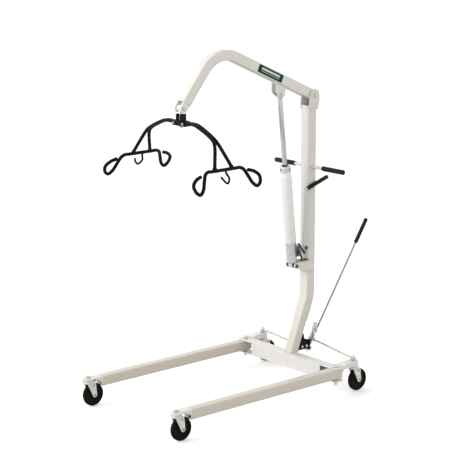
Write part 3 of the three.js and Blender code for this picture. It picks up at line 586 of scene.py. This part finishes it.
def bead(name, path, radius, body):
    """A weld bead: a low round bar whose thickness pulses a little."""
    spacing, pulse = 0.003, 0.0003
    fine = []
    for a, b in zip(path, path[1:]):
        count = max(2, int((b - a).length / spacing))
        fine += [a.lerp(b, i / count) for i in range(count)]
    fine.append(path[-1])
    bm = bmesh.new()
    round_bar(bm, fine, radius, sides=8)
    for i, vertex in enumerate(bm.verts):
        vertex.co.z += pulse * math.sin(i * 0.9)
    put(name, bm, PAINT, body, smooth=80, finish="weld")


def nut(name, spot, axis, body, across, height, finish=None):
    """A chamfered hexagonal nut on a round washer, standing on a face."""
    bm = bmesh.new()
    lathe(bm, [(0, 0), (across * 0.72, 0), (across * 0.75, 0.0003), (across * 0.75, 0.0011),
               (across * 0.72, 0.0014), (0, 0.0014)], spot, axis, 24)
    corner, flat, low = across * 0.577, across * 0.53, height - 0.0008
    lathe(bm, [(0, 0.0012), (flat, 0.0012), (corner, 0.0020), (corner, low), (flat, height),
               (across * 0.34, height), (across * 0.30, low), (0, low)], spot, axis, 6)
    put(name, bm, "zinc", body, smooth=25, finish=finish)


# ------------------------------------------------------------------ tubes of the frame
def mast_foot(distance):
    """A point on the leaning axis, that far below the knee."""
    return (-math.sin(MAST_LEAN) * distance, MAST_KNEE_Z - math.cos(MAST_LEAN) * distance)


def make_legs():
    half = LEG_TUBE / 2
    line = [line_point(y, LEG_TOP - half, 0, 1) for y in (LEG_FRONT_Y, LEG_REAR_Y)]
    for name, side in SIDES:
        leg = tube_along("leg_tube_" + name, line, half * MM, half * MM, LEG_CORNER * MM, LEG_WALL * MM,
                         f"leg_{name}_body", ["leg_" + name])
        leg.data.transform(Matrix.Translation((side * LEG_X * MM, 0, 0)))


def make_mast():
    line = bent_line(mast_foot(SLEEVE_LENGTH), (0, MAST_KNEE_Z), (0, MAST_TOP), MAST_KNEE_RADIUS, 14)
    tube_along("mast_upright", line, MAST_WIDTH / 2 * MM, MAST_DEPTH / 2 * MM, MAST_CORNER * MM,
               MAST_WALL * MM, "frame", ["mast_tube"])


def make_post():
    """The leaning post, cut level where it stands on the cross member, and the weld round its foot."""
    half_x = MAST_WIDTH / 2 - POST_INSET
    half_n = MAST_DEPTH / 2 - POST_INSET
    normal = (math.cos(MAST_LEAN), -math.sin(MAST_LEAN))
    line = [line_point(*mast_foot(distance), *normal) for distance in (POST_TOP, POST_FOOT)]
    post = tube_along("mast_foot_post", line, half_x * MM, half_n * MM, POST_CORNER * MM, POST_WALL * MM,
                      "frame", ["base_post"])
    level, cut_below = POST_FOOT_Z * MM, 0.2
    for vertex in post.data.vertices:
        if vertex.co.z < cut_below:
            drop = (vertex.co.z - level) / math.cos(MAST_LEAN)
            vertex.co += Vector((0, -math.sin(MAST_LEAN), -math.cos(MAST_LEAN))) * drop
    spread, weld_z, weld_r = 1.03, 132.2, 0.0024
    middle = (CROSS_TOP - MAST_KNEE_Z) * math.tan(MAST_LEAN)
    corners = ((1, 1), (-1, 1), (-1, -1), (1, -1), (1, 1))
    path = [at(sx * half_x * spread, middle + sy * half_n / math.cos(MAST_LEAN) * spread, weld_z)
            for sx, sy in corners]
    bead("post_weld", path, weld_r, "frame")


def make_boom():
    """The bent boom tube: a rounded rear end round the pivot and an open front end."""
    half, wall = BOOM_HALF * MM, BOOM_WALL * MM
    corner, inner_corner, thinnest = BOOM_CORNER * MM, 0.0025, 0.0012
    line = bent_line(BOOM_PIVOT, BOOM_KNEE, BOOM_END, BOOM_KNEE_RADIUS, 18)
    y, z, ny, nz = line[0]
    bm = bmesh.new()
    rings = []
    for degrees in (88, 70, 50, 30, 12):
        reach = half * math.sin(math.radians(degrees))
        height = max(half * math.cos(math.radians(degrees)), thinnest)
        section = rounded_square(half, height, min(corner, height * 0.9))
        rings += sections([(y - nz * reach, z + ny * reach, ny, nz)], section)
    rings += sections(line, rounded_square(half, half, corner))
    outer = loft(bm, rings)
    inner = loft(bm, sections(line, rounded_square(half - wall, half - wall, inner_corner)))
    bm.faces.new(outer[0])
    bm.faces.new(inner[0])
    bridge(bm, outer[-1], inner[-1])
    # the boom takes the lighter copy of the cream paint, which is painted light
    boom = put("boom_bent_tube", bm, PAINT, "boom", smooth=50, finish="lit_boom_paint")
    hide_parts("boom_tube")


# ------------------------------------------------------------------ grips and push bar
RIB_PITCH = 0.0045                   # rings along a grip


def grip(name, start, end, radius, body, node):
    """A vinyl grip: shallow rings along it, a rolled mouth and a domed end."""
    length = (end - start).length
    profile = [(radius * 0.62, 0.0), (radius * 0.94, 0.0), (radius, 0.0012), (radius, 0.004),
               (radius * 0.93, 0.0052)]
    for i in range(int((length - 0.02) / RIB_PITCH)):
        h = 0.0075 + i * RIB_PITCH
        profile += [(radius * 0.94, h), (radius * 0.985, h + 0.0011), (radius * 0.985, h + 0.0028),
                    (radius * 0.94, h + 0.0039)]
    dome = radius * 0.55
    for degrees in (0, 25, 50, 70, 84):
        angle = math.radians(degrees)
        profile.append((radius * math.cos(angle), length - dome + dome * math.sin(angle)))
    profile.append((0, length))
    bm = bmesh.new()
    lathe(bm, profile, start, end - start, sides=28)
    piece = put(name, bm, "grip", body, smooth=45)
    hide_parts(node)


def make_push_bar():
    """The cross bar through the mast, a grip on each end and a weld ring on each side of the mast."""
    for name, side in SIDES:
        grip("push_handle_" + name, at(side * (PUSH_HALF - PUSH_GRIP), PUSH_Y, PUSH_Z),
             at(side * PUSH_HALF, PUSH_Y, PUSH_Z), PUSH_GRIP_R * MM, "frame", "push_grip_" + name)
    reach, radius = (PUSH_HALF - 4) * MM, PUSH_BAR_R * MM
    bm = bmesh.new()
    lathe(bm, [(0, -reach), (radius, -reach), (radius, reach), (0, reach)], at(0, PUSH_Y, PUSH_Z),
          (1, 0, 0), 28)
    bar = put("push_cross_bar", bm, PAINT, "frame")
    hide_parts("push_bar")
    for name, side in SIDES:
        bm = bmesh.new()
        lathe(bm, [(0.0082, 0.0), (0.0112, 0.0002), (0.0104, 0.0016), (0.0086, 0.003), (0.0082, 0.003)],
              at(side * MAST_WIDTH / 2, PUSH_Y, PUSH_Z), (side, 0, 0), 28)
        put("push_bar_weld_" + name, bm, PAINT, "frame", finish="weld")


# ------------------------------------------------------------------ leg spreader
def on_lever(distance):
    """A point on the axis of the shifter, that far from its pivot."""
    rise = distance * math.cos(SHIFT_TILT)
    return at(distance * math.sin(SHIFT_TILT), SHIFT_AXIS_Y + SHIFT_BACK * rise, SHIFT_PIVOT_Z + rise)


def make_shifter():
    grip("shifter_handle", on_lever(SHIFT_LENGTH - SHIFT_GRIP), on_lever(SHIFT_LENGTH), SHIFT_GRIP_R * MM,
         "shifter", "shifter_grip")
    bm = bmesh.new()
    round_bar(bm, [on_lever(SHIFT_ROD_START), on_lever(SHIFT_LENGTH - 6)], SHIFT_ROD_R * MM, sides=20)
    rod = put("shifter_round_rod", bm, "rod_grey", "shifter")
    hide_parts("shifter_rod")


def eye(bm, bore, radius, spot, axis):
    """The flat ring at the end of a tie rod."""
    half, chamfer = 0.003, 0.0007
    lathe(bm, [(bore, -half), (radius - chamfer, -half), (radius, -0.0022), (radius, 0.0022),
               (radius - chamfer, half), (bore, half), (bore, -half)], spot, axis, 28)


def make_tie_rods():
    for name, side in SIDES:
        pin_x = side * SHIFT_CRANK * math.sin(SHIFT_TILT)
        pin_z = SHIFT_PIVOT_Z + side * (SHIFT_CRANK * math.cos(SHIFT_TILT) + TIE_PLAY)
        path = smooth_path([at(side * (LEG_X - 11), TIE_OUTER_Y, TIE_OUTER_Z),
                            at(side * (LEG_X - 30), TIE_OUTER_Y + 1, TIE_OUTER_Z),
                            at(pin_x + side * 30, TIE_Y - 1, pin_z), at(pin_x + side * 10, TIE_Y, pin_z)], 10)
        bm = bmesh.new()
        round_bar(bm, path, TIE_R * MM, sides=18)
        eye(bm, 0.0065, 0.012, at(side * LEG_X, TIE_OUTER_Y, TIE_OUTER_Z), (0, 0, 1))
        eye(bm, 0.0058, 0.011, at(pin_x, TIE_Y, pin_z), (0, 1, 0))
        rod = put("tie_bar_" + name, bm, "rod_grey", "tie_" + name, finish="zinc")
        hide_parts("tie_rod_" + name)


# ------------------------------------------------------------------ casters
# Half of a wheel from its bore out, as radius and half width: hub, disc, shoulder and crown of the tread.
WHEEL_FACE = [(0.0044, 0.0124), (0.0135, 0.0124), (0.0142, 0.0118), (0.0150, 0.0086), (0.0165, 0.0078),
              (0.0355, 0.0078), (0.0372, 0.0084), (0.0386, 0.0104), (0.0400, 0.0110), (0.0440, 0.0110),
              (0.0465, 0.0100), (0.0484, 0.0078), (0.0496, 0.0046), (0.0500, 0.0018)]
BEARING = [(0.0045, 0.0126), (0.0098, 0.0126), (0.0104, 0.0121), (0.0104, 0.0112), (0.0045, 0.0112),
           (0.0045, 0.0126)]
RIVET = [(0, 0), (0.0038, 0), (0.0038, 0.0021), (0.0030, 0.0026), (0, 0.0026)]
AXLE_END = [(0, 0), (0.0036, 0), (0.0036, 0.0009), (0.0028, 0.0015), (0, 0.0015)]


def make_wheel(place, x, axle_y):
    centre = at(x, axle_y, WHEEL_R)
    profile = WHEEL_FACE + [(r, -h) for r, h in reversed(WHEEL_FACE)] + [WHEEL_FACE[0]]
    bm = bmesh.new()
    lathe(bm, profile, centre, (1, 0, 0), 64)
    wheel = put("tread_" + place, bm, "tread", "roller_" + place, smooth=30)
    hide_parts("wheel_" + place)
    bm = bmesh.new()
    for face in (-1, 1):
        lathe(bm, BEARING, centre, (face, 0, 0), 32)
    put("bearing_" + place, bm, "tread", "roller_" + place, finish="hub_grey")


def make_fork_rivets(place, x, axle_y):
    """Rivets at the crown of the fork, and the rounded ends of the axle on its nuts."""
    rivet_x, rivet_z, nut_x = 13.1, 93, 18.4
    bm = bmesh.new()
    for face in (-1, 1):
        lathe(bm, RIVET, at(x + face * rivet_x, axle_y - 5, rivet_z), (face, 0, 0), 20)
        lathe(bm, AXLE_END, at(x + face * nut_x, axle_y, WHEEL_R), (face, 0, 0), 20)
    put("fork_rivets_" + place, bm, "caster_zinc", "caster_" + place, smooth=30, finish="dark_steel")


def make_casters():
    for name, side in SIDES:
        for end, stem_y in STEM_Y:
            place = f"{end}_{name}"
            make_wheel(place, side * LEG_X, stem_y + TRAIL)
            make_fork_rivets(place, side * LEG_X, stem_y + TRAIL)


# ------------------------------------------------------------------ cradle
# Routes of the round bars on one side, in x out from the middle, y from the middle of the cradle, and z.
LOOP = [(266, 60, 1065), (266, 84, 1065), (270, 100, 1057), (281, 115, 1030), (292, 129, 1002),
        (298, 149, 987), (295, 168, 999), (285, 173, 1024), (276, 152, 1043), (270, 124, 1052)]
HOOK = [(266, 9, 1063), (269, 9, 1052), (279, 17, 1030), (288, 1, 1013), (285, -15, 1025), (277, -24, 1040)]
ARM = [(40.3, 6.5, 1224), (90, 6.5, 1224), (120, 6.5, 1216), (202, 6.5, 1178), (221, 10.5, 1159),
       (258.5, 41.5, 1079)]
BAR_MIDDLE = (266, 0, 1065)
FOOT = (260.5, 43, 1073)             # where an arm rod meets the loop bar
FOOT_RUN = ((258, 41, 1079), (263, 45, 1070))


def on_cradle(side, point, end=1):
    x, y, z = point
    return at(side * x, HANG_Y + end * y, z)


def make_sling_bar(name, side):
    route = [on_cradle(side, p, -1) for p in reversed(LOOP)]
    route.append(on_cradle(side, BAR_MIDDLE))
    route += [on_cradle(side, p) for p in LOOP]
    bm = bmesh.new()
    round_bar(bm, smooth_path(route, 10), ARM_R * MM, sides=18)
    round_bar(bm, smooth_path([on_cradle(side, p) for p in HOOK], 8), HOOK_R * MM, sides=14)
    bar = put("sling_loop_bar_" + name, bm, "black_paint", "cradle", smooth=60)
    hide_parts("sling_bar_" + name)


def make_arm(name, side):
    bm = bmesh.new()
    for end in (-1, 1):
        round_bar(bm, smooth_path([on_cradle(side, p, end) for p in ARM], 8), ARM_R * MM, sides=18)
    arms = put("arm_rods_" + name, bm, "black_paint", "cradle", smooth=60)
    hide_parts("cradle_arm_" + name)
    for place, end in (("front", -1), ("rear", 1)):
        start, stop = (on_cradle(side, p, end) for p in FOOT_RUN)
        bm = bmesh.new()
        lathe(bm, [(0.0074, -0.005), (0.0096, -0.003), (0.0092, 0.002), (0.0074, 0.005)],
              on_cradle(side, FOOT, end), start - stop, 20)
        put(f"foot_weld_{name}_{place}", bm, "black_paint", "cradle", smooth=60)


def make_cradle():
    for name, side in SIDES:
        make_sling_bar(name, side)
        make_arm(name, side)


# ------------------------------------------------------------------ pump
PUMP_FOOT = at(0, *PUMP_PIN)
PUMP_AXIS = (at(0, *ROD_PIN) - PUMP_FOOT).normalized()
# Outlines about the axis of the pump, as radius and distance from its lower pin, in millimetres.
BARREL = [(0, 118), (12, 118), (12, 418), (20, 418), (20, 424), (23.7, 424), (24.5, 423), (24.5, 405.5),
          (26, 402), (26, 400), (26, 108), (25.2, 106.5), (12, 106.5), (0, 106.5)]
SEAL_CAP = [(11.6, 425), (23.8, 425), (24.5, 426), (24.5, 436), (23.6, 437), (23.6, 439), (24.5, 440),
            (24.5, 447.5), (23, 450), (20, 452), (13.5, 452), (12.2, 450), (11.6, 446), (11.6, 425)]
WIPER = [(11.15, 452.2), (13.2, 452.2), (14.8, 453.2), (14.4, 455.4), (12.2, 456.2), (11.15, 455.8),
         (11.15, 452.2)]
SPANNER_HOLE_UP = 436.5              # holes in the side of the seal cap
SPANNER_HOLE_OUT = 23.8
SPANNER_TURN = {"left": -6, "right": 104}    # degrees round from the front
PORT_LOW = (15.2, -78.8, 567)        # opposite corners of the port block
PORT_HIGH = (27.9, -59.2, 601)
PORT_PLUG = (22, -69, 600.8)


def turned(name, slot, profile, node=None):
    """A round piece about the axis of the pump."""
    bm = bmesh.new()
    lathe(bm, [(r * MM, h * MM) for r, h in profile], PUMP_FOOT, PUMP_AXIS, 40)
    piece = put(name, bm, slot, "pump", smooth=35)
    if node:
        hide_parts(node)


def make_port_block():
    """The cast block beside the foot of the pump, with a plug in its top."""
    low, high = at(*PORT_LOW), at(*PORT_HIGH)
    bm = bmesh.new()
    bmesh.ops.create_cube(bm, size=1)
    for vertex in bm.verts:
        vertex.co = [low[i] + (high[i] - low[i]) * (vertex.co[i] + 0.5) for i in range(3)]
    bmesh.ops.bevel(bm, geom=list(bm.edges), offset=0.002, segments=3, affect="EDGES", profile=0.5)
    lathe(bm, [(0, 0), (0.0052, 0), (0.0052, 0.0016), (0.0046, 0.0022), (0.0030, 0.0022), (0.0028, 0.0010),
               (0, 0.0010)], at(*PORT_PLUG), (0, 0, 1), 24)
    put("pump_port_block", bm, "dark_steel", "pump", smooth=35, finish="cast_grey")


def make_spanner_hole_shades():
    """Two dark discs on the side of the seal cap, painted shade that stands for its spanner holes."""
    for name, degrees in SPANNER_TURN.items():
        turn = math.radians(degrees)
        out = Vector((math.sin(turn), -math.cos(turn), 0))
        out = (out - PUMP_AXIS * out.dot(PUMP_AXIS)).normalized()
        spot = PUMP_FOOT + (PUMP_AXIS * SPANNER_HOLE_UP + out * SPANNER_HOLE_OUT) * MM
        bm = bmesh.new()
        lathe(bm, [(0, 0.0009), (0.0034, 0.0009), (0.0038, 0.0004), (0.0038, -0.0008), (0, -0.0008)],
              spot, out, 18)
        # a dark steel disc, painted shade in place of a hole
        put("gland_spanner_hole_shade_" + name, bm, "zinc", "pump", finish="dark_steel")


def make_pump():
    turned("pump_barrel", "pump_white", BARREL, "pump_cylinder")
    turned("pump_seal_cap", "zinc", SEAL_CAP, "pump_gland")
    make_port_block()
    turned("pump_wiper_ring", "grip", WIPER)


# ------------------------------------------------------------------ nuts and bolts
# x, y under the cross member, then y, z on the side of the shifter bracket, a rear arm and a front bracket
CROSS_FEET = ((-171, CROSS_Y), (110, CROSS_Y), (-40, CROSS_Y + 8), (40, CROSS_Y + 8))
BRACKET_NUTS = ((-52, 190), (-38, 146), (-12, 146))
ARM_BOLT = (-72, 99.6)
PLUG_SCREW = (-942, 100)
BRACKET_HALF = 13
CRANK_PIN_END_Y = 30


def make_nuts():
    down = (0, 0, -1)
    for i, (x, y) in enumerate(CROSS_FEET):
        nut(f"cross_foot_bolt_{i}", at(x, y, CROSS_BOTTOM), down, "frame", across=0.012, height=0.007,
            finish="dark_steel")
    for name, side in SIDES:
        outward = (side, 0, 0)
        nut("arm_bolt_" + name, at(side * LEG_X, *ARM_BOLT), down, f"leg_{name}_body", across=0.009,
            height=0.006)
        nut("plug_screw_" + name, at(side * (LEG_X + LEG_TUBE / 2), *PLUG_SCREW), outward,
            f"leg_{name}_body", across=0.008, height=0.004, finish="dark_steel")
        pin = at(side * SHIFT_CRANK * math.sin(SHIFT_TILT), CRANK_PIN_END_Y,
                 SHIFT_PIVOT_Z + side * SHIFT_CRANK * math.cos(SHIFT_TILT))
        nut("crank_pin_nut_" + name, pin, (0, 1, 0), "shifter", across=0.013, height=0.007,
            finish="dark_steel")
        for i, (y, z) in enumerate(BRACKET_NUTS):
            nut(f"bracket_nut_{name}_{i}", at(side * BRACKET_HALF, y, z), outward, "frame", across=0.009,
                height=0.005)


# ------------------------------------------------------------------ label
LABEL_ALONG = 0.2845                 # from the boom pivot to the middle of the plate
# Name, half length, half height, how far it sits above the middle, its face in x, and its material.
LABEL_LAYERS = (("label_rim", 0.0765, 0.0184, 0.0003, 0.0228, "label_edge"),
                ("label_field", 0.0750, 0.0170, 0.0003, 0.0230, "label_green"),
                ("label_band", 0.0560, 0.0042, 0.0048, 0.0232, "label_edge"),
                ("label_line", 0.0560, 0.0009, -0.0062, 0.0232, "label_edge"))


def make_label():
    """A green plate on the side of the boom: a pale rim, a band and a line, and nothing written on it."""
    along = Vector((0, -math.cos(BOOM_RISE), math.sin(BOOM_RISE)))
    up = Vector((0, math.sin(BOOM_RISE), math.cos(BOOM_RISE)))
    middle = at(0, *BOOM_PIVOT) + along * LABEL_ALONG
    for name, half_l, half_h, lift, face, finish in LABEL_LAYERS:
        centre = middle + up * lift
        section = rounded_square(half_l, half_h, min(0.003, half_h * 0.9), 4)
        rings = [[centre + (along * a + up * b) * scale + Vector((face + out, 0, 0)) for a, b in section]
                 for scale, out in ((1.0, -0.0003), (1.0, 0.0), (0.998, 0.0001))]
        bm = bmesh.new()
        loft(bm, rings, close_ends=True)
        put(name, bm, PAINT, "boom", smooth=30, finish=finish)


# ------------------------------------------------------------------ everything
make_materials()
make_camera()
make_studio()
make_lamps()
make_view()
make_floor()
paint_cad_nodes()
make_legs()
make_mast()
make_post()
make_boom()
make_push_bar()
make_shifter()
make_tie_rods()
make_casters()
make_cradle()
make_pump()
make_nuts()
make_spanner_hole_shades()
make_label()
round_remaining_nodes()
